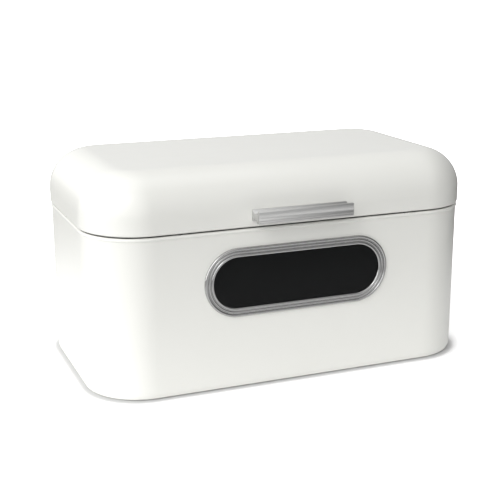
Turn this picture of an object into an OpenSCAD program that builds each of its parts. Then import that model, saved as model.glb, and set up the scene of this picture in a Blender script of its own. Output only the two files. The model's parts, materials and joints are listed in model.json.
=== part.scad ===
// Domed sheet-steel bread bin with a hinged lid, a bar handle and a long front window.
// The front is -Y, the hinges are at the back and the worktop is at Z = 0.

/* [Body] */
// Width of the body across its side walls
body_width = 420; // [380:5:480]
// Depth of the body from its front wall to its back wall
body_depth = 236; // [210:2:280]
// Height of the body's rim above the worktop
rim_height = 166; // [150:1:190]
// Corner radius of the body seen from above
corner_radius = 58; // [54:1:72]
// Thickness of the coated steel sheet
sheet = 0.7; // [0.6:0.1:1]
// Diameter of the rolled bead round the body's rim
bead_diameter = 4.2; // [3.6:0.2:5]
// How far the bead stands out from the wall
bead_proud = 0.9; // [0.6:0.1:1.2]
// Number of air holes in the back wall
vent_count = 7; // [3:2:9]
// Diameter of an air hole
vent_diameter = 5; // [3:0.5:6]
// Distance between neighbouring air holes
vent_pitch = 14; // [10:1:18]
// Distance from the rim down to the row of air holes
vent_drop = 28; // [15:1:60]

/* [Base] */
// Height of the base's lower edge above the worktop
floor_gap = 1; // [0.5:0.5:2]
// Height of the base that shows below the walls
base_rim = 4; // [3:0.5:6]
// How far the base's edge reaches up inside the walls
base_lap = 8; // [6:1:12]
// Bend radius along the base's lower edge
base_bend = 2; // [1.5:0.5:3]
// Width of the flat rim under the base
base_ledge = 12; // [8:1:20]
// Height of a rubber foot
foot_height = 4; // [3:0.5:6]
// Diameter of a rubber foot
foot_diameter = 14; // [10:1:20]
// Space between a foot and the step of the recess round it
foot_margin = 3; // [2:0.5:8]

/* [Window] */
// Distance from the rim down to the window's centre
window_drop = 54; // [48:1:80]
// Distance between the centres of the window's round ends
window_run = 131; // [90:1:160]
// Radius of the clear opening
window_radius = 26; // [20:0.5:28]
// How far the pane reaches behind the bezel past the clear opening
pane_lap = 2; // [1.5:0.1:3]
// Wall of the bezel's neck, which holds the screws
neck_wall = 3.8; // [3.6:0.1:5]
// How far the bezel laps over the wall round the cut-out
bezel_lap = 3.2; // [2.5:0.1:5]
// Thickness of the bezel's plate
bezel_plate = 1.2; // [1:0.1:1.6]
// How far the bezel's outer lip stands out from the wall
bezel_height = 2.4; // [2:0.2:3]
// Thickness of the smoked pane
pane_thickness = 2; // [1.5:0.5:3]
// Thickness of the gasket behind the pane
gasket_thickness = 1; // [0.5:0.25:1.5]
// Width of the gasket and of the clamp ring's edge that presses on it
gasket_width = 1.4; // [1:0.1:1.8]
// Depth of the clamp ring's edge behind the gasket
clamp_depth = 3; // [2:0.5:5]
// Thickness of the clamp ring
retainer_plate = 1.2; // [1:0.1:2]
// Width of the clamp ring's outer edge, which bears on the wall
retainer_edge = 3; // [2:0.5:5]

/* [Lid] */
// Height of the lid's straight wall
lid_wall = 16; // [14:0.5:30]
// Gap between the lid's lower edge and the body's rim
lid_gap = 1.5; // [1:0.25:2.5]
// How far the lid overhangs the body's walls
lid_overhang = 1.5; // [1.4:0.1:2.5]
// Radius of the curve from the lid's wall into its top
dome_radius = 41.5; // [30:0.5:50]
// Width of the flange turned in along the lid's lower edge
lid_flange = 9; // [8.5:0.5:11]
// Bend radius of the lid's lower edge
lid_bend = 2; // [1:0.1:2]
// Diameter of a rest pad under the flange
pad_diameter = 6.5; // [5:0.5:6.5]
// Distance of the front rest pads from the middle
pad_spacing = 125; // [90:5:130]

/* [Handle] */
// Length of the handle
handle_length = 103; // [80:1:160]
// How far the handle stands out from the lid
handle_reach = 18; // [16:0.5:20]
// Height of the handle's front bar
handle_height = 13.4; // [12.6:0.2:14.6]
// Height of the handle's foot where it meets the lid
handle_foot = 11.2; // [10:0.2:12]
// Thickness of the handle's foot
foot_plate = 2.2; // [1.5:0.1:3]
// Thickness of the handle's front bar
front_bar = 3.2; // [2.6:0.1:4]
// Thickness of the web between the finger grooves
handle_web = 4.2; // [4:0.1:6]
// Distance from a washer's top edge up to the start of the lid's curve
washer_margin = 0.2; // [0:0.1:3]
// Distance of a handle screw from the middle
handle_screw_offset = 34; // [25:1:38]

/* [Hinges] */
// Distance of a hinge from the middle
hinge_offset = 112; // [90:1:130]
// Width of a hinge
hinge_width = 40; // [32:1:50]
// Thickness of a hinge leaf
leaf = 1.2; // [1:0.1:1.4]
// Diameter of the hinge pin
pin_diameter = 3; // [2.5:0.5:3.5]
// Outer diameter of a knuckle
knuckle_diameter = 6; // [5.5:0.5:6.5]
// Distance from the lid's back wall to the pin's centre
pin_offset = 4; // [3.8:0.1:5]
// Length of the lid leaf's middle knuckle
middle_knuckle = 18; // [12:1:22]
// Height of the lower leaf's flat part
body_leaf_height = 14; // [12:1:20]
// Height of the upper leaf's flat part
lid_leaf_height = 11; // [10:0.5:12]
// Distance of a rivet from the hinge's middle
rivet_offset = 12; // [9:0.5:13]
// Distance of a rivet from the leaf's free edge
rivet_edge = 5; // [4:0.5:6]
// Angle at which the hinges stop the open lid
open_angle = 100; // [90:1:110]
// How far the stop lug on the middle knuckle reaches from the pin's centre
stop_reach = 5.5; // [5:0.1:6]

/* [Fasteners] */
// Shank diameter of a hinge rivet
rivet_diameter = 3; // [2.4:0.2:3.4]
// Head diameter of a hinge rivet
rivet_head = 5.8; // [5:0.2:6.4]
// Shank diameter of a window screw
window_screw = 2.5; // [2.2:0.1:2.6]
// Head diameter of a window screw
window_screw_head = 4.8; // [4.2:0.2:5.2]
// Length of a window screw under its head
window_screw_length = 5.4; // [4.5:0.1:5.6]
// Shank diameter of a handle screw
handle_screw = 3; // [2.5:0.5:3]
// Head diameter of a handle screw
handle_screw_head = 6; // [5.5:0.5:6.5]
// Length of a handle screw under its head
handle_screw_length = 7.5; // [5:0.5:8]
// Outer diameter of a handle screw's washer
washer_diameter = 7; // [6.5:0.5:7.5]
// Thickness of a handle screw's washer
washer_thickness = 0.8; // [0.5:0.1:1.2]

/* [Hidden] */
$fn = 64;

steel_white = "#ecece7";
rubber_black = "#2b2b2c";
bezel_silver = "#9b9c9b";
smoke = "#1b1e1f";
bright_steel = "#c3c5c6";
handle_silver = "#a9aaa8";
pad_grey = "#565655";

// Fits between pieces
running_clearance = 0.05;
loose_clearance = 0.3;
hole_clearance = 0.2;
thread_relief = 0.4;
knuckle_gap = 0.4;
leaf_relief = 0.6;
stop_gap = 0.2;
pin_head_gap = 0.2;
cut = 1;

// Small details that stay as they are
bead_seam = 0.6;
leaf_corner = 3;
pin_head = 1;
stop_width = 2.2;
foot_rise = 0.4;
skirt_margin = 2;
leaf_upright = 1;

// Body and base levels
wall_bottom = floor_gap + base_rim;
bead_bottom = rim_height - bead_diameter;
pan_width = body_width - 2 * sheet;
pan_depth = body_depth - 2 * sheet;
recess_inset = base_ledge + sheet;
recess_corner = corner_radius - recess_inset;
foot_reach = (recess_corner - foot_margin - foot_diameter / 2) * cos(45);
foot_x = pan_width / 2 - corner_radius + foot_reach;
foot_y = pan_depth / 2 - corner_radius + foot_reach;

// Lid levels and outline
lid_bottom = rim_height + lid_gap;
dome_start = lid_bottom + lid_wall;
lid_top = dome_start + dome_radius;
lid_width = body_width + 2 * lid_overhang;
lid_depth = body_depth + 2 * lid_overhang;
lid_corner = corner_radius + lid_overhang;

// Window outlines from the clear opening outwards, and its depth behind the wall's outer face
pane_radius = window_radius + pane_lap;
gasket_radius = pane_radius - gasket_width;
neck_inner = pane_radius + loose_clearance;
neck_outer = neck_inner + neck_wall;
cutout_radius = neck_outer + loose_clearance;
bezel_radius = cutout_radius + bezel_lap;
retainer_skirt = cutout_radius + skirt_margin;
retainer_radius = retainer_skirt + retainer_edge;
neck_depth = pane_thickness + gasket_thickness + clamp_depth;
screw_circle = (neck_inner + neck_outer) / 2;
pilot_depth = window_screw_length - retainer_plate + thread_relief;
window_screw_places = [
    [0, screw_circle],
    [0, -screw_circle],
    for (side = [-1, 1], end = [-1, 1])
        [end * (window_run / 2 + screw_circle * cos(45)), side * screw_circle * sin(45)]
];

// Handle section and fastenings
grip_depth = (handle_foot - handle_web) / 2;
grip_width = handle_reach - foot_plate - front_bar;
grip_radius = (grip_width * grip_width / 4 + grip_depth * grip_depth) / (2 * grip_depth);
grip_middle = foot_plate + grip_width / 2;
web_middle = foot_rise + handle_foot / 2;
handle_screw_z = dome_start - washer_margin - washer_diameter / 2;
handle_bottom = handle_screw_z - web_middle;
handle_hole_depth = handle_screw_length - washer_thickness - sheet + thread_relief;

// Hinge line and leaves
pin_y = lid_depth / 2 + pin_offset;
pin_z = rim_height + lid_gap / 2;
knuckle_radius = knuckle_diameter / 2;
pin_radius = pin_diameter / 2;
outer_knuckle = (hinge_width - middle_knuckle) / 2 - knuckle_gap;
leaf_face = pin_y - knuckle_radius;
lid_leaf_bottom = pin_z + knuckle_radius + leaf_relief;
lid_leaf_top = lid_leaf_bottom + lid_leaf_height;
body_leaf_top = pin_z - knuckle_radius - leaf_relief;
body_leaf_bend = min(bead_bottom, body_leaf_top) - 3 * leaf;
body_leaf_bottom = body_leaf_bend - body_leaf_height;
body_rivet_z = body_leaf_bottom + rivet_edge;
lid_rivet_z = lid_leaf_top - rivet_edge;

// The origin lies under the middle of the overall outline, handle and hinges included
front_reach = lid_depth / 2 + handle_reach;
back_reach = pin_y + stop_reach;
outline_shift = (front_reach - back_reach) / 2;

module placed() {
    translate([0, outline_shift, 0]) children();
}

// Flat rounded rectangle
module round_rect(w, d, r) {
    square([w - 2 * r, d], center = true);
    square([w, d - 2 * r], center = true);
    for (x = [-1, 1], y = [-1, 1])
        translate([x * (w / 2 - r), y * (d / 2 - r)]) circle(r);
}

// Carries a wall section round a rounded rectangle; X = 0 in the section is the outer face
module wall_sweep(w, d, r) {
    for (quarter = [0:3]) {
        half = quarter % 2 == 0 ? w / 2 : d / 2;
        run = (quarter % 2 == 0 ? d : w) - 2 * r;
        rotate([0, 0, 90 * quarter]) {
            translate([half, run / 2, 0]) rotate([90, 0, 0]) linear_extrude(run) children();
            translate([half - r, run / 2, 0]) rotate_extrude(angle = 90, $fn = 96)
                translate([r, 0]) children();
        }
    }
}

// Flat shape with straight sides and round ends
module stadium(r) {
    square([window_run, 2 * r], center = true);
    for (end = [-1, 1])
        translate([end * window_run / 2, 0]) circle(r);
}

// Carries a section round the window's outline; X in the section is the distance from its middle line
module window_sweep() {
    for (turn = [0, 180]) {
        rotate([0, 0, turn]) {
            translate([window_run / 2, 0, 0]) rotate([0, 0, -90])
                rotate_extrude(angle = 180, $fn = 96) children();
            translate([window_run / 2, 0, 0]) rotate([90, 0, -90])
                linear_extrude(window_run) mirror([1, 0]) children();
        }
    }
}

// Stands a shape on the front wall: its Z points out of the wall
module on_front() {
    translate([0, -body_depth / 2, rim_height - window_drop]) rotate([90, 0, 0]) children();
}

// Stands a shape on a wall at the back: its Z points backwards
module on_back(x, y, z) {
    translate([x, y, z]) rotate([-90, 0, 0]) children();
}

// Extrudes a Y-Z section along X
module along_x(length) {
    translate([-length / 2, 0, 0]) rotate([90, 0, 90]) linear_extrude(length) children();
}

// Quarter of a bent sheet, centred on the bend
module bend(outer, x_side, z_side) {
    intersection() {
        difference() {
            circle(outer);
            circle(outer - sheet);
        }
        translate([x_side > 0 ? 0 : -outer, z_side > 0 ? 0 : -outer]) square(outer);
    }
}

// Domed head, shank and flat tail; Z = 0 is the face under the head
module rivet(grip) {
    head_height = rivet_head / 4;
    dome = rivet_head * 5 / 8;
    tail_height = 1.4;
    translate([0, 0, -grip]) cylinder(h = grip, d = rivet_diameter);
    intersection() {
        cylinder(h = head_height, d = rivet_head);
        translate([0, 0, head_height - dome]) sphere(dome);
    }
    translate([0, 0, -grip - tail_height]) cylinder(h = tail_height, d = rivet_head * 3 / 4);
}

// Low domed screw head with a cross recess
module pan_head(d, h) {
    dome = d * 0.8;
    slot_width = d * 0.16;
    slot_length = d * 0.56;
    slot_floor = h * 0.45;
    difference() {
        intersection() {
            cylinder(h = h, d = d);
            translate([0, 0, h - dome]) sphere(dome);
        }
        for (turn = [0, 90])
            rotate([0, 0, turn]) translate([-slot_length / 2, -slot_width / 2, slot_floor])
                cube([slot_length, slot_width, h]);
    }
}

// The rim is rolled inwards into a bead, which stops short of the wall
module body_section() {
    bead_radius = bead_diameter / 2;
    translate([-sheet, wall_bottom])
        square([sheet, rim_height - wall_bottom - 2 * bead_radius + sheet]);
    translate([bead_proud - bead_radius, rim_height - bead_radius]) difference() {
        circle(bead_radius);
        circle(bead_radius - sheet);
        translate([bead_radius - bead_proud - sheet - bead_seam, -bead_radius])
            square([bead_seam, bead_radius]);
    }
}

module body_shell() {
    color(steel_white) placed() difference() {
        wall_sweep(body_width, body_depth, corner_radius) body_section();
        on_front() translate([0, 0, -sheet - cut]) linear_extrude(sheet + 2 * cut)
            stadium(cutout_radius);
        for (i = [0:vent_count - 1]) {
            vent_x = (i - (vent_count - 1) / 2) * vent_pitch;
            on_back(vent_x, body_depth / 2 - sheet - cut, rim_height - vent_drop)
                cylinder(h = sheet + 2 * cut, d = vent_diameter);
        }
        for (x = [-1, 1], side = [-1, 1])
            on_back(x * hinge_offset + side * rivet_offset, body_depth / 2 - sheet - cut, body_rivet_z)
                cylinder(h = sheet + 2 * cut, d = rivet_diameter + hole_clearance);
    }
}

module base_section() {
    translate([-sheet, floor_gap + base_bend])
        square([sheet, wall_bottom + base_lap - floor_gap - base_bend]);
    translate([-base_bend, floor_gap + base_bend]) bend(base_bend, 1, -1);
    translate([-base_ledge, floor_gap]) square([base_ledge - base_bend, sheet]);
    translate([-recess_inset, floor_gap]) square([sheet, foot_height - floor_gap + sheet]);
}

module base_pan() {
    color(steel_white) placed() {
        wall_sweep(pan_width, pan_depth, corner_radius) base_section();
        translate([0, 0, foot_height]) linear_extrude(sheet)
            round_rect(pan_width - 2 * recess_inset, pan_depth - 2 * recess_inset, recess_corner);
    }
}

module foot(x, y) {
    taper = 2;
    dimple = foot_diameter * 0.35;
    color(rubber_black) placed()
        translate([x * foot_x, y * foot_y, 0])
            difference() {
                cylinder(h = foot_height, d1 = foot_diameter - taper, d2 = foot_diameter);
                translate([0, 0, -cut]) cylinder(h = foot_height / 2 + cut, d = dimple);
            }
}

module foot_front_left() foot(-1, -1);
module foot_front_right() foot(1, -1);
module foot_rear_left() foot(-1, 1);
module foot_rear_right() foot(1, 1);

// Section of the bezel: X is the distance from the window's middle line, Y is out of the wall
module bezel_section() {
    lip = bezel_height / 2;
    ridge = 0.7;
    inner_lip = 0.6;
    inner_rise = 0.4;
    bezel_width = bezel_radius - window_radius;
    ridge_place = 0.45 * bezel_width;
    translate([window_radius, 0]) square([bezel_width, bezel_plate]);
    translate([bezel_radius - 2 * lip, 0]) square([2 * lip, lip]);
    translate([bezel_radius - lip, lip]) circle(lip);
    translate([window_radius + ridge_place, bezel_plate]) circle(ridge);
    translate([window_radius, 0]) square([2 * inner_lip, bezel_plate + inner_rise]);
    translate([window_radius + inner_lip, bezel_plate + inner_rise]) circle(inner_lip);
    translate([neck_inner, -neck_depth]) square([neck_outer - neck_inner, neck_depth]);
}

module window_frame() {
    color(bezel_silver) placed() on_front() difference() {
        window_sweep() bezel_section();
        for (p = window_screw_places)
            translate([p.x, p.y, -neck_depth - cut])
                cylinder(h = pilot_depth + cut, d = window_screw + 2 * running_clearance);
    }
}

module window_pane() {
    color(smoke) placed() on_front()
        translate([0, 0, -pane_thickness]) linear_extrude(pane_thickness) stadium(pane_radius);
}

module window_gasket() {
    color(rubber_black) placed() on_front() window_sweep()
        translate([gasket_radius, -pane_thickness - gasket_thickness])
            square([gasket_width, gasket_thickness]);
}

module window_retainer() {
    color(rubber_black) placed() on_front() difference() {
        window_sweep() {
            translate([gasket_radius, -neck_depth]) square([gasket_width, clamp_depth]);
            translate([gasket_radius, -neck_depth - retainer_plate])
                square([retainer_radius - gasket_radius, retainer_plate]);
            translate([retainer_skirt, -neck_depth])
                square([retainer_edge, neck_depth - sheet]);
        }
        for (p = window_screw_places)
            translate([p.x, p.y, -neck_depth - retainer_plate - cut])
                cylinder(h = retainer_plate + 2 * cut, d = window_screw + 2 * hole_clearance);
    }
}

module window_screws() {
    head_height = 1.8;
    color(bright_steel) placed() on_front()
        for (p = window_screw_places)
            translate([p.x, p.y, -neck_depth - retainer_plate]) {
                cylinder(h = window_screw_length, d = window_screw);
                rotate([180, 0, 0]) pan_head(window_screw_head, head_height);
            }
}

// Cuts the leaf's free corners round; z1 is the free edge and z2 lies beyond the knuckles
module leaf_outline(z1, z2) {
    low = min(z1, z2);
    free = z1 < z2 ? low : max(z1, z2) - 2 * leaf_corner;
    translate([0, pin_y + knuckle_diameter, 0]) rotate([90, 0, 0])
        linear_extrude(3 * knuckle_diameter) {
            translate([-hinge_width / 2, z1 < z2 ? low + leaf_corner : low])
                square([hinge_width, abs(z2 - z1) - leaf_corner]);
            translate([leaf_corner - hinge_width / 2, low])
                square([hinge_width - 2 * leaf_corner, abs(z2 - z1)]);
            for (x = [-1, 1])
                translate([x * (hinge_width / 2 - leaf_corner), free + leaf_corner]) circle(leaf_corner);
        }
}

module knuckle_bore() {
    along_x(hinge_width + 2 * cut) translate([pin_y, pin_z]) circle(pin_radius + running_clearance);
}

// The leaf lies on the wall, slopes out past the bead and stands upright under the knuckles
module body_leaf_flat() {
    back = body_depth / 2;
    outer_shift = 0.4;
    polygon([
        [back, body_leaf_bottom],
        [back, body_leaf_bend],
        [leaf_face, body_leaf_top - leaf_upright],
        [leaf_face, body_leaf_top],
        [leaf_face + leaf, body_leaf_top],
        [leaf_face + leaf, body_leaf_top - leaf_upright - outer_shift],
        [back + leaf, body_leaf_bend - outer_shift],
        [back + leaf, body_leaf_bottom]
    ]);
}

module body_leaf_knuckle() {
    root = body_leaf_top - leaf_upright / 2;
    translate([leaf_face, root]) square([leaf, pin_z - root]);
    translate([pin_y, pin_z]) circle(knuckle_radius);
}

module body_leaf(side) {
    shift = middle_knuckle / 2 + knuckle_gap + outer_knuckle / 2;
    color(bright_steel) placed() translate([side * hinge_offset, 0, 0]) difference() {
        intersection() {
            union() {
                along_x(hinge_width) body_leaf_flat();
                for (x = [-1, 1])
                    translate([x * shift, 0, 0]) along_x(outer_knuckle) body_leaf_knuckle();
            }
            leaf_outline(body_leaf_bottom, pin_z + knuckle_diameter);
        }
        knuckle_bore();
        for (x = [-1, 1])
            on_back(x * rivet_offset, body_depth / 2 - cut, body_rivet_z)
                cylinder(h = leaf + 2 * cut, d = rivet_diameter + hole_clearance);
    }
}

module hinge_left_body_leaf() body_leaf(-1);
module hinge_right_body_leaf() body_leaf(1);

// The leaf steps back a little from the knuckle to lie on the lid's wall
module lid_leaf_flat() {
    back = lid_depth / 2;
    outer_shift = 0.2;
    lid_leaf_bend = lid_leaf_bottom + 2 * leaf_upright;
    polygon([
        [back, lid_leaf_top],
        [back, lid_leaf_bend],
        [leaf_face, lid_leaf_bottom + leaf_upright],
        [leaf_face, lid_leaf_bottom],
        [leaf_face + leaf, lid_leaf_bottom],
        [leaf_face + leaf, lid_leaf_bottom + leaf_upright + outer_shift],
        [back + leaf, lid_leaf_bend + outer_shift],
        [back + leaf, lid_leaf_top]
    ]);
}

module lid_leaf_knuckle() {
    root = lid_leaf_bottom + leaf_upright / 2;
    translate([leaf_face, pin_z]) square([leaf, root - pin_z]);
    translate([pin_y, pin_z]) circle(knuckle_radius);
}

// Lug that meets the back of the body's leaf when the lid is fully open
module stop_lug() {
    translate([pin_y, pin_z]) rotate(open_angle) intersection() {
        translate([leaf + stop_gap - knuckle_radius, -stop_reach]) square([stop_width, stop_reach]);
        circle(stop_reach);
    }
}

module lid_leaf(side) {
    color(bright_steel) placed() translate([side * hinge_offset, 0, 0]) difference() {
        intersection() {
            union() {
                along_x(hinge_width) lid_leaf_flat();
                along_x(middle_knuckle) lid_leaf_knuckle();
                along_x(middle_knuckle) stop_lug();
            }
            leaf_outline(lid_leaf_top, pin_z - knuckle_diameter);
        }
        knuckle_bore();
        for (x = [-1, 1])
            on_back(x * rivet_offset, lid_depth / 2 - cut, lid_rivet_z)
                cylinder(h = leaf + 2 * cut, d = rivet_diameter + hole_clearance);
    }
}

module hinge_left_lid_leaf() lid_leaf(-1);
module hinge_right_lid_leaf() lid_leaf(1);

module hinge_pin(side) {
    color(bright_steel) placed() translate([side * hinge_offset, pin_y, pin_z]) {
        rotate([0, 90, 0])
            cylinder(h = hinge_width + 2 * pin_head_gap, r = pin_radius, center = true);
        for (end = [-1, 1])
            rotate([0, end * 90, 0]) translate([0, 0, hinge_width / 2 + pin_head_gap])
                cylinder(h = pin_head, r1 = pin_radius + 0.8, r2 = pin_radius + 0.2);
    }
}

module hinge_left_pin() hinge_pin(-1);
module hinge_right_pin() hinge_pin(1);

module body_rivets() {
    color(bright_steel) placed()
        for (side = [-1, 1], x = [-1, 1])
            on_back(side * hinge_offset + x * rivet_offset, body_depth / 2 + leaf, body_rivet_z)
                rivet(leaf + sheet);
}

module lid_rivets() {
    color(bright_steel) placed()
        for (side = [-1, 1], x = [-1, 1])
            on_back(side * hinge_offset + x * rivet_offset, lid_depth / 2 + leaf, lid_rivet_z)
                rivet(leaf + sheet);
}

module lid_section() {
    translate([-lid_flange, lid_bottom]) square([lid_flange - lid_bend, sheet]);
    translate([-lid_bend, lid_bottom + lid_bend]) bend(lid_bend, 1, -1);
    translate([-sheet, lid_bottom + lid_bend]) square([sheet, dome_start - lid_bottom - lid_bend]);
    translate([-dome_radius, dome_start]) bend(dome_radius, 1, 1, $fn = 128);
}

module lid_shell() {
    color(steel_white) placed() difference() {
        union() {
            wall_sweep(lid_width, lid_depth, lid_corner) lid_section();
            translate([0, 0, lid_top - sheet]) linear_extrude(sheet) round_rect(
                lid_width - 2 * dome_radius, lid_depth - 2 * dome_radius, lid_corner - dome_radius);
        }
        for (x = [-1, 1])
            on_back(x * handle_screw_offset, -lid_depth / 2 - cut, handle_screw_z)
                cylinder(h = sheet + 2 * cut, d = handle_screw + 2 * hole_clearance);
        for (side = [-1, 1], x = [-1, 1])
            on_back(side * hinge_offset + x * rivet_offset, lid_depth / 2 - sheet - cut, lid_rivet_z)
                cylinder(h = sheet + 2 * cut, d = rivet_diameter + hole_clearance);
    }
}

// Shallow groove along the handle's front face
module front_groove(height, half_width, depth) {
    groove_radius = (half_width * half_width + depth * depth) / (2 * depth);
    translate([depth - handle_reach - groove_radius, height]) circle(groove_radius);
}

// Section of the handle: X = 0 is the lid's face and the front bar is at -X
module handle_section() {
    top_round = 1.5;
    low_round = 0.7;
    broad_groove = 6.1;
    fine_groove = 2.4;
    difference() {
        union() {
            translate([-foot_plate, foot_rise]) square([foot_plate, handle_foot]);
            polygon([
                [-foot_plate, foot_rise],
                [-foot_plate, foot_rise + handle_foot],
                [top_round - handle_reach, handle_height],
                [top_round - handle_reach, 0]
            ]);
            translate([-handle_reach, low_round])
                square([front_bar, handle_height - top_round - low_round]);
            translate([top_round - handle_reach, handle_height - top_round]) circle(top_round);
            translate([low_round - handle_reach, low_round]) circle(low_round);
            translate([low_round - handle_reach, 0]) square([front_bar - low_round, low_round]);
        }
        translate([-grip_middle, foot_rise + handle_foot - grip_depth + grip_radius])
            circle(grip_radius);
        translate([-grip_middle, foot_rise + grip_depth - grip_radius]) circle(grip_radius);
        front_groove(broad_groove, half_width = 1.6, depth = 0.45);
        front_groove(fine_groove, half_width = 0.8, depth = 0.5);
    }
}

module handle() {
    color(handle_silver) placed() difference() {
        translate([0, -lid_depth / 2, handle_bottom]) along_x(handle_length) handle_section();
        for (x = [-1, 1])
            on_back(x * handle_screw_offset, -lid_depth / 2 - handle_hole_depth, handle_screw_z)
                cylinder(h = handle_hole_depth + cut, d = handle_screw + 2 * running_clearance);
    }
}

module handle_screws() {
    inside = -lid_depth / 2 + sheet + washer_thickness;
    head_height = 2;
    color(bright_steel) placed()
        for (x = [-1, 1])
            on_back(x * handle_screw_offset, inside, handle_screw_z) {
                translate([0, 0, -handle_screw_length]) cylinder(h = handle_screw_length, d = handle_screw);
                pan_head(handle_screw_head, head_height);
            }
}

module handle_washers() {
    color(bright_steel) placed()
        for (x = [-1, 1])
            on_back(x * handle_screw_offset, -lid_depth / 2 + sheet, handle_screw_z)
                difference() {
                    cylinder(h = washer_thickness, d = washer_diameter);
                    translate([0, 0, -cut])
                        cylinder(h = washer_thickness + 2 * cut, d = handle_screw + 2 * hole_clearance);
                }
}

module lid_pads() {
    inset = lid_bend + pad_diameter / 2 - lid_overhang;
    color(pad_grey) placed() {
        for (x = [-1, 1]) {
            translate([x * pad_spacing, inset - body_depth / 2, rim_height])
                cylinder(h = lid_gap, d = pad_diameter);
            translate([x * (body_width / 2 - inset), 0, rim_height])
                cylinder(h = lid_gap, d = pad_diameter);
        }
    }
}

body_shell();
base_pan();
foot_front_left();
foot_front_right();
foot_rear_left();
foot_rear_right();
window_frame();
window_pane();
window_gasket();
window_retainer();
window_screws();
hinge_left_body_leaf();
hinge_right_body_leaf();
hinge_left_pin();
hinge_right_pin();
body_rivets();
lid_shell();
handle();
handle_screws();
handle_washers();
lid_pads();
hinge_left_lid_leaf();
hinge_right_lid_leaf();
lid_rivets();
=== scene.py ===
# Bread bin: finishes, detailed pieces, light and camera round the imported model
import json
import math

import bmesh
import bpy
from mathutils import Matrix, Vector


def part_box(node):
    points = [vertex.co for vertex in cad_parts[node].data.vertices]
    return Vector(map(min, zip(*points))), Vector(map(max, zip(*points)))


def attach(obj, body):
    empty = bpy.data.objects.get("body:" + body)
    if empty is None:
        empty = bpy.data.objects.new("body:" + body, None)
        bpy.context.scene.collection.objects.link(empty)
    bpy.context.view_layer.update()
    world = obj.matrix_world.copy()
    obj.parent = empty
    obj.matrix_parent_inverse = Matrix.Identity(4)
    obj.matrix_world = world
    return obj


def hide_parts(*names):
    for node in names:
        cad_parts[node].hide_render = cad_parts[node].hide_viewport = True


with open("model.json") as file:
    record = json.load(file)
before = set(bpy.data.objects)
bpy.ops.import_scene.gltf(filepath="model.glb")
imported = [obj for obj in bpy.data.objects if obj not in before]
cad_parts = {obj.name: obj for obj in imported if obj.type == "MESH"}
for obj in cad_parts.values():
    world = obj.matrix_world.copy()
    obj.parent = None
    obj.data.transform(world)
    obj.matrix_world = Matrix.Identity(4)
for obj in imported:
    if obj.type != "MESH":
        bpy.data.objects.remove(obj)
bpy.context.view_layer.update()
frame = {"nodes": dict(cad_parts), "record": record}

nodes = frame["nodes"]
mm = 0.001  # one millimetre in metres
print("frame loaded:", len(nodes), "pieces")


def addNode(tree, kind, inputs=None, **settings):
    # an input is either a fixed value or another node's output, which is linked
    node = tree.nodes.new(kind)
    for key, value in settings.items():
        setattr(node, key, value)
    for key, value in (inputs or {}).items():
        if isinstance(value, bpy.types.NodeSocket):
            tree.links.new(value, node.inputs[key])
        else:
            node.inputs[key].default_value = value
    return node


def maths(tree, operation, *values):
    return addNode(tree, "ShaderNodeMath", dict(enumerate(values)), operation=operation).outputs[0]


def vectorMaths(tree, operation, *values, output="Vector"):
    node = addNode(tree, "ShaderNodeVectorMath", dict(enumerate(values)), operation=operation)
    return node.outputs[output]


def newFinish(name, constants):
    finish = bpy.data.materials.new(name)
    finish.use_nodes = True
    tree = finish.node_tree
    shader = tree.nodes["Principled BSDF"]
    for key, value in constants.items():
        shader.inputs[key].default_value = value
    place = addNode(tree, "ShaderNodeTexCoord").outputs["Object"]
    return finish, tree, shader, place


def noiseAt(tree, place, size, detail=2.0, stretch=(1, 1, 1), roughness=0.5):
    # size is the width of one blotch in metres
    scale = [share / size for share in stretch]
    scaled = addNode(tree, "ShaderNodeMapping", {"Vector": place, "Scale": scale}).outputs["Vector"]
    return addNode(tree, "ShaderNodeTexNoise", {
        "Vector": scaled, "Scale": 1.0, "Detail": detail, "Roughness": roughness}).outputs["Fac"]


def blendColours(tree, value, first, second):
    # the colour mixer's sockets are 0 for the share, 6 and 7 for the colours, and output 2
    sockets = {0: value, 6: (*first, 1), 7: (*second, 1)}
    return addNode(tree, "ShaderNodeMix", sockets, data_type="RGBA").outputs[2]


def setColour(tree, shader, value, first, second):
    tree.links.new(blendColours(tree, value, first, second), shader.inputs["Base Color"])


def setRoughness(tree, shader, value, low, high):
    # noise stays mostly between its quarter marks, so those are taken to low and high
    spread = addNode(tree, "ShaderNodeMapRange", {
        "Value": value, "From Min": 0.25, "From Max": 0.75, "To Min": low, "To Max": high})
    tree.links.new(spread.outputs["Result"], shader.inputs["Roughness"])


def addBump(tree, shader, height, depth, after=None):
    # depth is the real height of the relief in metres; after is a coarser relief under this one
    bump = addNode(tree, "ShaderNodeBump", {"Height": height, "Strength": 1.0, "Distance": depth})
    if after:
        tree.links.new(after, bump.inputs["Normal"])
    tree.links.new(bump.outputs["Normal"], shader.inputs["Normal"])
    return bump.outputs["Normal"]


def coatedSteelFinish():
    coat = {"pale": (0.80, 0.80, 0.765), "warm": (0.785, 0.785, 0.745), "blotch": 0.06,
            "rough": (0.30, 0.36), "roughBlotch": 0.02,
            "orangePeel": 0.0016, "orangePeelDepth": 0.000004, "grain": 0.0003, "grainDepth": 0.0000008}
    finish, tree, shader, place = newFinish("satinPowderCoat", {
        "IOR": 1.5, "Specular IOR Level": 0.5, "Coat Weight": 0.25, "Coat Roughness": 0.12})
    setColour(tree, shader, noiseAt(tree, place, coat["blotch"], 3), coat["pale"], coat["warm"])
    setRoughness(tree, shader, noiseAt(tree, place, coat["roughBlotch"], 3), *coat["rough"])
    peel = addBump(tree, shader, noiseAt(tree, place, coat["orangePeel"], 1), coat["orangePeelDepth"])
    addBump(tree, shader, noiseAt(tree, place, coat["grain"], 1), coat["grainDepth"], peel)
    return finish


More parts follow.
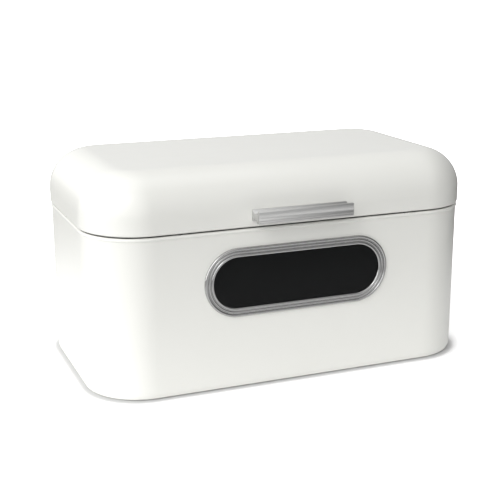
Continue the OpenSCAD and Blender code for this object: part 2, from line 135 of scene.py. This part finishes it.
def bezelFinish():
    bezel = {"dark": (0.39, 0.39, 0.39), "light": (0.43, 0.43, 0.425), "blotch": 0.012,
             "rough": (0.19, 0.23), "roughBlotch": 0.01, "grain": 0.0003, "grainDepth": 0.0000003}
    finish, tree, shader, place = newFinish("satinBezel", {"Metallic": 1.0, "IOR": 1.5})
    setColour(tree, shader, noiseAt(tree, place, bezel["blotch"], 4), bezel["dark"], bezel["light"])
    setRoughness(tree, shader, noiseAt(tree, place, bezel["roughBlotch"], 3), *bezel["rough"])
    addBump(tree, shader, noiseAt(tree, place, bezel["grain"], 2), bezel["grainDepth"])
    return finish


def handleFinish():
    # the brushed lines run along the bar, so the noise is drawn out along X
    metal = {"dark": (0.54, 0.54, 0.535), "light": (0.62, 0.62, 0.61), "rough": (0.34, 0.42),
             "line": 0.00012, "lineStretch": (0.012, 1, 1), "lineRoughness": 0.65, "lineDepth": 0.000001}
    finish, tree, shader, place = newFinish("brushedAluminium", {
        "Metallic": 0.9, "IOR": 1.5, "Anisotropic": 0.3})
    lines = noiseAt(tree, place, metal["line"], 3, metal["lineStretch"], metal["lineRoughness"])
    setColour(tree, shader, lines, metal["dark"], metal["light"])
    setRoughness(tree, shader, lines, *metal["rough"])
    addBump(tree, shader, lines, metal["lineDepth"])
    return finish


def paneFinish():
    smoke = {"dark": (0.016, 0.019, 0.020), "light": (0.021, 0.024, 0.025), "blotch": 0.05,
             "rough": (0.035, 0.06), "smear": 0.008, "wave": 0.03, "waveDepth": 0.00001}
    finish, tree, shader, place = newFinish("smokedPane", {
        "IOR": 1.33, "Transmission Weight": 0.85, "Specular Tint": (0.5, 0.5, 0.5, 1)})
    setColour(tree, shader, noiseAt(tree, place, smoke["blotch"], 2), smoke["dark"], smoke["light"])
    setRoughness(tree, shader, noiseAt(tree, place, smoke["smear"], 3), *smoke["rough"])
    addBump(tree, shader, noiseAt(tree, place, smoke["wave"], 1), smoke["waveDepth"])
    return finish


def mouldedFinish(name, look):
    # rubber, silicone and plastic differ in colour, gloss and the grain of their mould
    moulded = {"blotch": 0.004, "roughBlotch": 0.002}
    finish, tree, shader, place = newFinish(name, {"IOR": 1.5, "Specular IOR Level": 0.4})
    setColour(tree, shader, noiseAt(tree, place, moulded["blotch"], 3), look["dark"], look["light"])
    setRoughness(tree, shader, noiseAt(tree, place, moulded["roughBlotch"], 2), *look["rough"])
    addBump(tree, shader, noiseAt(tree, place, look["grain"], 3), look["grainDepth"])
    return finish


def platedFinish():
    zinc = {"dark": (0.56, 0.57, 0.58), "light": (0.70, 0.70, 0.69), "blotch": 0.003,
            "rough": (0.24, 0.38), "roughBlotch": 0.0015,
            "rolled": 0.0004, "rolledStretch": (0.2, 1, 1), "rolledDepth": 0.0000006}
    finish, tree, shader, place = newFinish("zincPlate", {"Metallic": 1.0, "IOR": 1.5})
    setColour(tree, shader, noiseAt(tree, place, zinc["blotch"], 4), zinc["dark"], zinc["light"])
    setRoughness(tree, shader, noiseAt(tree, place, zinc["roughBlotch"], 3), *zinc["rough"])
    rolled = noiseAt(tree, place, zinc["rolled"], 2, zinc["rolledStretch"])
    addBump(tree, shader, rolled, zinc["rolledDepth"])
    return finish


rubberLook = {"dark": (0.022, 0.022, 0.022), "light": (0.035, 0.035, 0.034), "rough": (0.55, 0.7),
              "grain": 0.0004, "grainDepth": 0.00001}
plasticLook = {"dark": (0.022, 0.022, 0.023), "light": (0.03, 0.03, 0.031), "rough": (0.42, 0.5),
               "grain": 0.0005, "grainDepth": 0.00001}
siliconeLook = {"dark": (0.09, 0.09, 0.088), "light": (0.11, 0.11, 0.107), "rough": (0.4, 0.5),
                "grain": 0.0006, "grainDepth": 0.000006}
coatedSteel = coatedSteelFinish()
bezelSilver = bezelFinish()
handleAluminium = handleFinish()
smokedPane = paneFinish()
blackRubber = mouldedFinish("blackRubber", rubberLook)
blackPlastic = mouldedFinish("blackPlastic", plasticLook)
greySilicone = mouldedFinish("greySilicone", siliconeLook)
platedSteel = platedFinish()

finishBySlot = {
    "coated_steel": coatedSteel, "bezel_silver": bezelSilver, "handle_aluminium": handleAluminium,
    "smoked_pane": smokedPane, "black_rubber": blackRubber, "black_plastic": blackPlastic,
    "plated_steel": platedSteel, "grey_silicone": greySilicone,
}
for row in frame["record"]["subparts"]:
    for materialSlot in nodes[row["node"]].material_slots:
        materialSlot.material = finishBySlot[row["material_slot"]]
print("finishes made:", len(finishBySlot))


def arcPoints(centre, radius, start, end, steps):
    # angles in degrees, counted from the first axis towards the second
    return [(centre[0] + radius * math.cos(math.radians(start + (end - start) * i / steps)),
             centre[1] + radius * math.sin(math.radians(start + (end - start) * i / steps)))
            for i in range(steps + 1)]


def archOf(halfWidth, rise):
    # radius, and half the opening angle in degrees, of an arc of this half width and rise
    radius = (halfWidth ** 2 + rise ** 2) / (2 * rise)
    return radius, math.degrees(math.asin(halfWidth / radius))


def rotated(vector, angle):
    c, s = math.cos(angle), math.sin(angle)
    return Vector((vector.x * c - vector.y * s, vector.x * s + vector.y * c))


def sharp(points):
    return [(x, y, 0) for x, y in points]


def roundCorners(corners, steps=5):
    # corners are (x, y, radius); a corner of radius 0 stays as it is
    outline = []
    for i, (x, y, radius) in enumerate(corners):
        here = Vector((x, y))
        if radius == 0:
            outline.append(here)
            continue
        before = (Vector(corners[i - 1][:2]) - here).normalized()
        after = (Vector(corners[(i + 1) % len(corners)][:2]) - here).normalized()
        half = before.angle(after) / 2
        middle = here + (before + after).normalized() * radius / math.sin(half)
        first = here + before * radius / math.tan(half) - middle
        last = here + after * radius / math.tan(half) - middle
        turn = first.angle_signed(last)
        for step in range(steps + 1):
            outline.append(middle + rotated(first, -turn * step / steps))
    return [(point[0], point[1]) for point in outline]


def shrunk(outline, amount):
    # moves each point of a closed outline inwards along the bisector of its two edges
    points = [Vector(point) for point in outline]
    area = sum(a.x * b.y - b.x * a.y for a, b in zip(points, points[1:] + points[:1]))
    side = 1 if area > 0 else -1
    moved = []
    for i, point in enumerate(points):
        a = (point - points[i - 1]).normalized()
        b = (points[(i + 1) % len(points)] - point).normalized()
        inward = (Vector((-a.y, a.x)) + Vector((-b.y, b.x))).normalized() * side
        moved.append(point + inward * amount)
    return moved


def finishMesh(form, name, material, sharpAngle=38):
    # smooth shading with hard edges kept where two faces meet at more than sharpAngle
    bmesh.ops.recalc_face_normals(form, faces=form.faces)
    for face in form.faces:
        face.smooth = True
    for edge in form.edges:
        if len(edge.link_faces) == 2:
            edge.smooth = edge.calc_face_angle(0) < math.radians(sharpAngle)
    mesh = bpy.data.meshes.new(name)
    form.to_mesh(mesh)
    form.free()
    mesh.materials.append(material)
    piece = bpy.data.objects.new(name, mesh)
    bpy.context.scene.collection.objects.link(piece)
    return piece


def joinRings(form, rings, closed):
    pairs = zip(rings, rings[1:] + rings[:1]) if closed else zip(rings, rings[1:])
    for ring, following in pairs:
        for i in range(len(ring)):
            j = (i + 1) % len(ring)
            form.faces.new((ring[i], ring[j], following[j], following[i]))


def barAlongX(form, outline, left, right, edge):
    # a solid bar of one section with softly broken ends; the outline holds (y, z) points
    steps = [(0, edge), (edge * 0.3, edge * 0.3), (edge, 0)]
    stations = [(left + way, drop) for way, drop in steps]
    stations += [(right - way, drop) for way, drop in reversed(steps)]
    rings = []
    for x, drop in stations:
        rings.append([form.verts.new((x, y, z)) for y, z in shrunk(outline, drop)])
    joinRings(form, rings, closed=False)
    caps = [form.faces.new(rings[0]), form.faces.new(rings[-1])]
    bmesh.ops.triangulate(form, faces=caps)


def turnedForm(form, profile, place, axis, segments=48):
    # a turned shape: the profile holds (distance from the axis, distance along it) and ends on the axis
    upright = Vector((0, 0, 1)).rotation_difference(Vector(axis))

    def pointAt(distance, along, turn):
        flat = (distance * math.cos(turn), distance * math.sin(turn), along)
        return form.verts.new(Vector(place) + upright @ Vector(flat))

    rings = []
    for distance, along in profile:
        count = 1 if distance == 0 else segments
        rings.append([pointAt(distance, along, math.tau * i / segments) for i in range(count)])
    for ring, following in zip(rings, rings[1:]):
        for i in range(segments):
            j = (i + 1) % segments
            if len(ring) == 1:
                form.faces.new((ring[0], following[j], following[i]))
            elif len(following) == 1:
                form.faces.new((ring[i], ring[j], following[0]))
            else:
                form.faces.new((ring[i], ring[j], following[j], following[i]))


def makeHandle():
    # extruded bar: foot on the lid, thin web between two finger grooves, grooved front; in mm.
    # The two face grooves hold their height on the bar, half width and depth
    bar = {"foot": 2.2, "footRise": 0.4, "footHeight": 11.2, "shoulder": 0.1, "web": 4.2, "front": 3.2,
           "topRound": 1.5, "lowRound": 0.7, "smallRound": 0.3,
           "lowLip": (0.3, 0.05), "topLip": (0.9, 0.15),
           "broadGroove": (6.1, 1.7, 0.5), "fineGroove": (2.4, 0.85, 0.55), "endEdge": 0.35,
           "fingerSteps": 20, "faceSteps": 10}
    low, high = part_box("handle")
    reach, height = (high.y - low.y) / mm, (high.z - low.z) / mm
    footTop = bar["footRise"] + bar["footHeight"]
    depth = (bar["footHeight"] - bar["web"]) / 2
    width = reach - bar["foot"] - bar["front"]
    middle = bar["foot"] + width / 2
    curve, half = archOf(width / 2, depth)
    lowerCentre = (middle, bar["footRise"] + depth - curve)
    upperCentre = (middle, footTop - depth + curve)
    lowerGroove = arcPoints(lowerCentre, curve, 90 + half, 90 - half, bar["fingerSteps"])
    upperGroove = arcPoints(upperCentre, curve, half - 90, -half - 90, bar["fingerSteps"])

    def faceGroove(place, halfWidth, sink):
        bend, turn = archOf(halfWidth, sink)
        return arcPoints((reach - sink + bend, place), bend, 180 + turn, 180 - turn, bar["faceSteps"])

    footEdge = bar["foot"] - bar["shoulder"]
    frontBack = reach - bar["front"]
    corners = [(0, bar["footRise"], bar["smallRound"]), (footEdge, bar["footRise"], 0)]
    corners += sharp(lowerGroove)
    corners += [(frontBack + bar["lowLip"][0], bar["lowLip"][1], bar["smallRound"])]
    corners += [(reach, 0, bar["lowRound"])]
    corners += sharp(faceGroove(*bar["fineGroove"]) + faceGroove(*bar["broadGroove"]))
    corners += [(reach, height, bar["topRound"])]
    corners += [(frontBack + bar["topLip"][0], height - bar["topLip"][1], bar["smallRound"])]
    corners += sharp(upperGroove)
    corners += [(footEdge, footTop, 0), (0, footTop, bar["smallRound"])]
    outline = [(high.y - x * mm, low.z + y * mm) for x, y in roundCorners(corners)]
    form = bmesh.new()
    barAlongX(form, outline, low.x, high.x, bar["endEdge"] * mm)
    piece = finishMesh(form, "handleBar", handleAluminium)
    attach(piece, "lid")
    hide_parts("handle")


def makeBezel():
    # pressed ring with three round ribs and a neck through the wall; sizes in mm.
    # Each rib holds its distance from the outer edge, half width and height
    ring = {"width": 9.6, "neckGap": 2.3, "neckWall": 3.8, "edge": 0.3, "valley": 0.9,
            "outerLip": (1.5, 1.5, 1.45), "ridge": (4.8, 1.15, 0.85), "innerLip": (8.05, 1.5, 1.3),
            "steps": 72, "ribSteps": 10}
    low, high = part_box("window_frame")
    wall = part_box("window_pane")[0].y  # heights are counted outwards from the pane's face
    outer = (high.z - low.z) / 2 / mm
    inner = outer - ring["width"]
    neckInner = inner + ring["neckGap"]
    neckOuter = neckInner + ring["neckWall"]
    neck = (wall - high.y) / mm
    run = (high.x - low.x - high.z + low.z) / 2
    centre = ((high.x + low.x) / 2, (high.z + low.z) / 2)

    def rib(inset, halfWidth, rise):
        bend, turn = archOf(halfWidth, rise)
        middle = (outer - inset, ring["valley"] + rise - bend)
        return arcPoints(middle, bend, 90 + turn, 90 - turn, ring["ribSteps"])

    corners = sharp(rib(*ring["innerLip"]) + rib(*ring["ridge"]) + rib(*ring["outerLip"]))
    corners += [(outer, 0, 0), (neckOuter, 0, 0), (neckOuter, neck, ring["edge"])]
    corners += [(neckInner, neck, ring["edge"]), (neckInner, 0, 0), (inner, 0, 0)]
    outline = roundCorners(corners)
    form = bmesh.new()
    rings = []
    for side in (1, -1):
        for step in range(ring["steps"] + 1):
            angle = math.pi * (step / ring["steps"] - 0.5)
            across, up = side * math.cos(angle), side * math.sin(angle)
            end = centre[0] + side * run
            rings.append([form.verts.new((end + across * x * mm, wall - y * mm, centre[1] + up * x * mm))
                          for x, y in outline])
    joinRings(form, rings, closed=True)
    piece = finishMesh(form, "bezelRing", bezelSilver, 50)
    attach(piece, "body")
    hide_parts("window_frame")


def makeFeet():
    # moulded buttons with a rounded tread, a ring groove and a dimple; sizes in mm, edgeEnd in degrees
    tread = {"taper": 1.0, "edge": 0.8, "edgeEnd": -8, "edgeSteps": 6, "grooveAt": 4.2, "groove": 0.35,
             "dimple": 2.45, "dimpleDepth": 2.0, "dimpleRound": 0.3, "mouth": 0.2,
             "bevel": (0.1, 0.15), "topInset": 0.25}
    edge, groove, grooveAt = tread["edge"], tread["groove"], tread["grooveAt"]
    dimple, depth, inset = tread["dimple"], tread["dimpleDepth"], tread["dimpleRound"]
    for name in ("foot_front_left", "foot_front_right", "foot_rear_left", "foot_rear_right"):
        low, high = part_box(name)
        radius, height = (high.x - low.x) / 2 / mm, (high.z - low.z) / mm
        edgeCentre = (radius - tread["taper"] - edge, edge)
        profile = [(0, depth), (dimple - inset, depth), (dimple, depth - inset)]
        profile += [(dimple, tread["mouth"]), (dimple + tread["mouth"], 0)]
        profile += [(grooveAt - groove, 0), (grooveAt, groove), (grooveAt + groove, 0)]
        profile += arcPoints(edgeCentre, edge, -90, tread["edgeEnd"], tread["edgeSteps"])
        profile += [(radius - tread["bevel"][0], height - tread["bevel"][1])]
        profile += [(radius - tread["topInset"], height), (0, height)]
        form = bmesh.new()
        turnedForm(form, [(x * mm, y * mm) for x, y in profile],
                   ((low.x + high.x) / 2, (low.y + high.y) / 2, low.z), (0, 0, 1))
        piece = finishMesh(form, name + "_button", blackRubber)
        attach(piece, "body")
        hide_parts(name)


def makeRivets():
    # blind rivets: domed head with the broken mandrel in its middle, and the set tail inside; sizes in mm.
    # The tail's curve holds (distance in from its widest, height)
    rivet = {"head": 5.8, "rimHeight": 0.35, "underHead": 0.05, "domeHole": 1.05, "domeSteps": 12,
             "shank": 3.0, "tail": 4.35, "tailHeight": 1.4, "tailNeck": 0.15,
             "tailCurve": ((0.5, 0), (0.1, 0.25), (0, 0.7)), "pit": 0.25, "pitSlope": 0.15,
             "mandrel": 1.0, "wellDepth": 0.25, "stub": (0.1, 0.55), "stubDepth": 0.5, "sides": 32}
    mandrel, shank, tail = rivet["mandrel"], rivet["shank"] / 2, rivet["tail"] / 2
    radius, headHeight = rivet["head"] / 2, rivet["head"] / 4
    bend, turn = archOf(radius, headHeight - rivet["rimHeight"])
    leafLow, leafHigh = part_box("hinge_right_body_leaf")
    for name, body in (("body_rivets", "body"), ("lid_rivets", "lid")):
        low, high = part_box(name)
        height = (high.y - low.y) / mm
        headFoot = height - headHeight
        dome = arcPoints((0, height - bend), bend, 90 - turn, 90, rivet["domeSteps"])
        profile = [(0, rivet["pit"]), (mandrel, rivet["pit"]), (mandrel + rivet["pitSlope"], 0)]
        profile += [(tail - inset, rise) for inset, rise in rivet["tailCurve"]]
        profile += [(tail - rivet["tailNeck"], rivet["tailHeight"]), (shank, rivet["tailHeight"])]
        profile += [(shank, headFoot), (radius - rivet["underHead"], headFoot)]
        profile += [point for point in dome if point[0] > rivet["domeHole"]]
        profile += [(mandrel, height - rivet["wellDepth"])]
        profile += [(mandrel - rivet["stub"][0], height - rivet["stub"][1])]
        profile += [(0, height - rivet["stubDepth"])]
        form = bmesh.new()
        outerX = high.x - radius * mm
        innerX = leafLow.x + leafHigh.x - outerX  # a pair lies evenly about its hinge's middle
        for x in (low.x + radius * mm, -innerX, innerX, outerX):
            turnedForm(form, [(a * mm, b * mm) for a, b in profile],
                       (x, low.y, (low.z + high.z) / 2), (0, 1, 0), rivet["sides"])
        piece = finishMesh(form, name + "_set", platedSteel, 30)
        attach(piece, body)
        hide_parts(name)


makeHandle()
makeBezel()
makeFeet()
makeRivets()
print("detailed pieces made: handle, bezel, feet, rivets")


def easeBetween(tree, value, start, end, low=0.0, high=1.0):
    # a smooth step from low at start to high at end
    return addNode(tree, "ShaderNodeMapRange", {
        "Value": value, "From Min": start, "From Max": end, "To Min": low, "To Max": high},
        interpolation_type="SMOOTHSTEP").outputs["Result"]


def distanceFromBin(tree, place, corner):
    # how far a point of the floor lies outside the bin's rounded outline
    low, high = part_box("body_shell")
    straight = ((high.x - low.x) / 2 - corner, (high.y - low.y) / 2 - corner, 1)
    middle = ((low.x + high.x) / 2, (low.y + high.y) / 2, 0)
    mirrored = vectorMaths(tree, "ABSOLUTE", vectorMaths(tree, "SUBTRACT", place, middle))
    outside = vectorMaths(tree, "MAXIMUM", vectorMaths(tree, "SUBTRACT", mirrored, straight), (0, 0, 0))
    return maths(tree, "SUBTRACT", vectorMaths(tree, "LENGTH", outside, output="Value"), corner)


def addFloor():
    # a pale table. The camera sees it white all over, with a soft contact shadow painted round the bin. To
    # all rays but the camera's its far part is painted dark, a painted shade so that the bin is lit mostly
    # by its near part, and its far part ahead shows a painted glow to reflections alone, which the bin
    # mirrors. Sizes in metres
    table = {"size": 30.0, "pale": 0.95, "far": 0.08, "litRadius": 0.30, "fadeRadius": 0.80, "glow": 0.04,
             "corner": 0.058, "shade": 0.38, "shadeEnd": 0.007,
             "clear": 0.42, "clearStart": -0.002, "clearEnd": 0.018, "paintedReflectionGlow": 0.35}
    half = table["size"] / 2
    floorMesh = bpy.data.meshes.new("floor")
    floorMesh.from_pydata([(-half, -half, 0), (half, -half, 0), (half, half, 0), (-half, half, 0)], [],
                          [(0, 1, 2, 3)])
    floor = bpy.data.objects.new("floor", floorMesh)
    bpy.context.scene.collection.objects.link(floor)
    finish, tree, shader, place = newFinish("paleFloor", {"Roughness": 0.9, "Specular IOR Level": 0.1})
    rays = addNode(tree, "ShaderNodeLightPath").outputs
    seen, mirrored = rays["Is Camera Ray"], rays["Is Glossy Ray"]
    reach = vectorMaths(tree, "LENGTH", place, output="Value")
    fade = easeBetween(tree, reach, table["litRadius"], table["fadeRadius"])
    beside = distanceFromBin(tree, place, table["corner"])

    # painted shade: to all rays but the camera's, the floor beyond litRadius turns dark (far), so the bin
    # is lit mostly by the near floor
    dimmed = maths(tree, "MULTIPLY", fade, maths(tree, "SUBTRACT", 1.0, seen))
    paleColour = blendColours(tree, dimmed, (table["pale"],) * 3, (table["far"],) * 3)
    # painted contact shadow: to the camera alone, the floor's colour darkens towards the bin's outline and
    # under it
    shade = easeBetween(tree, beside, 0.0, table["shadeEnd"], table["shade"], 0.0)
    keep = maths(tree, "SUBTRACT", 1.0, maths(tree, "MULTIPLY", shade, seen))
    shaded = addNode(tree, "ShaderNodeVectorMath", {0: paleColour, "Scale": keep}, operation="SCALE")
    tree.links.new(shaded.outputs["Vector"], shader.inputs["Base Color"])

    # painted light: a glow seen by the camera alone, rising with distance from the bin, lifts the bin's
    # cast shadow to white
    clear = easeBetween(tree, beside, table["clearStart"], table["clearEnd"], 0.0, table["clear"])
    lift = maths(tree, "ADD", maths(tree, "ADD", fade, table["glow"]), clear)
    # painted reflection: the far floor ahead of the bin glows to glossy rays alone, so the metal mirrors a
    # pale table
    depth = addNode(tree, "ShaderNodeSeparateXYZ", {"Vector": place}).outputs["Y"]
    ahead = easeBetween(tree, depth, 0.0, -table["litRadius"], 0.0, table["paintedReflectionGlow"])
    paintedReflectionGlow = maths(tree, "MULTIPLY", fade, ahead)
    glow = maths(tree, "MULTIPLY_ADD", paintedReflectionGlow, mirrored, maths(tree, "MULTIPLY", lift, seen))
    shader.inputs["Emission Color"].default_value = (1, 1, 1, 1)
    tree.links.new(glow, shader.inputs["Emission Strength"])
    floorMesh.materials.append(finish)


def addWorld():
    # an even glow plus one lobe for each side of the room: direction, narrowness, strength. A negative
    # strength takes light away. The camera sees plain white instead
    evenGlow = 0.34
    room = {
        "left": ((-1, 0, 0.15), 2, 0.36),
        "frontLeft": ((-0.7, -0.7, 0.2), 2, 1.15),
        "back": ((0, 1, 0.2), 2, 0.45),
        "frontTop": ((0.2, -0.7, 0.7), 3, 0.28),
        "rightFlag": ((0.9, -0.4, 0.0), 2, -0.32),
    }
    world = bpy.data.worlds.new("studio")
    bpy.context.scene.world = world
    world.use_nodes = True
    tree = world.node_tree
    backdrop = tree.nodes["Background"]
    direction = addNode(tree, "ShaderNodeTexCoord").outputs["Generated"]
    total = evenGlow
    for side, narrowness, strength in room.values():
        towards = Vector(side).normalized()
        facing = vectorMaths(tree, "DOT_PRODUCT", direction, towards, output="Value")
        lobe = maths(tree, "POWER", maths(tree, "MAXIMUM", facing, 0.0), narrowness)
        total = maths(tree, "MULTIPLY_ADD", lobe, strength, total)
    seen = addNode(tree, "ShaderNodeLightPath").outputs["Is Camera Ray"]
    shown = addNode(tree, "ShaderNodeMix", {0: seen, 2: total, 3: 1.0}, data_type="FLOAT").outputs[0]
    tree.links.new(shown, backdrop.inputs["Strength"])
    backdrop.inputs["Color"].default_value = (1, 1, 1, 1)


def addSoftboxes():
    # sizes and places in metres, power in watts
    softboxes = {
        "keyLight": {"place": (-2.2, -1.8, 2.5), "target": (0, 0, 0.1), "size": (1.4, 1.4), "power": 24.8},
        "leftStrip": {"place": (-1.5, -0.17, 0.55), "target": (0, 0, 0.1), "size": (0.5, 1.1),
                      "power": 8.1},
        "topBox": {"place": (0, 0.1, 1.9), "target": (0, 0, 0), "size": (1.4, 1.2), "power": 4.8},
    }
    for name, softbox in softboxes.items():
        lamp = bpy.data.lights.new(name, "AREA")
        lamp.shape = "RECTANGLE"
        lamp.size, lamp.size_y = softbox["size"]
        lamp.energy = softbox["power"]
        box = bpy.data.objects.new(name, lamp)
        bpy.context.scene.collection.objects.link(box)
        box.location = softbox["place"]
        box.visible_camera = False
        aim = Vector(softbox["target"]) - Vector(softbox["place"])
        box.rotation_euler = aim.to_track_quat("-Z", "Y").to_euler()


def addCamera():
    # angles in degrees, sizes in metres, lens and sensor in mm
    view = {"azimuth": -22.198, "elevation": 15.215, "distance": 1.1775, "lens": 76.084, "sensor": 36,
            "clipEnd": 100, "target": (-0.004735, 0.00425, 0.10946)}
    camera = bpy.data.objects.new("camera", bpy.data.cameras.new("camera"))
    bpy.context.scene.collection.objects.link(camera)
    bpy.context.scene.camera = camera
    camera.data.lens = view["lens"]
    camera.data.sensor_width = view["sensor"]
    camera.data.clip_end = view["clipEnd"]
    turn, rise = math.radians(view["azimuth"]), math.radians(view["elevation"])
    away = Vector((math.sin(turn) * math.cos(rise), -math.cos(turn) * math.cos(rise), math.sin(rise)))
    camera.location = Vector(view["target"]) + away * view["distance"]
    camera.rotation_euler = (-away).to_track_quat("-Z", "Y").to_euler()


bpy.context.scene.view_settings.view_transform = "Standard"
addFloor()
addWorld()
addSoftboxes()
addCamera()
print("stage, light and camera set")
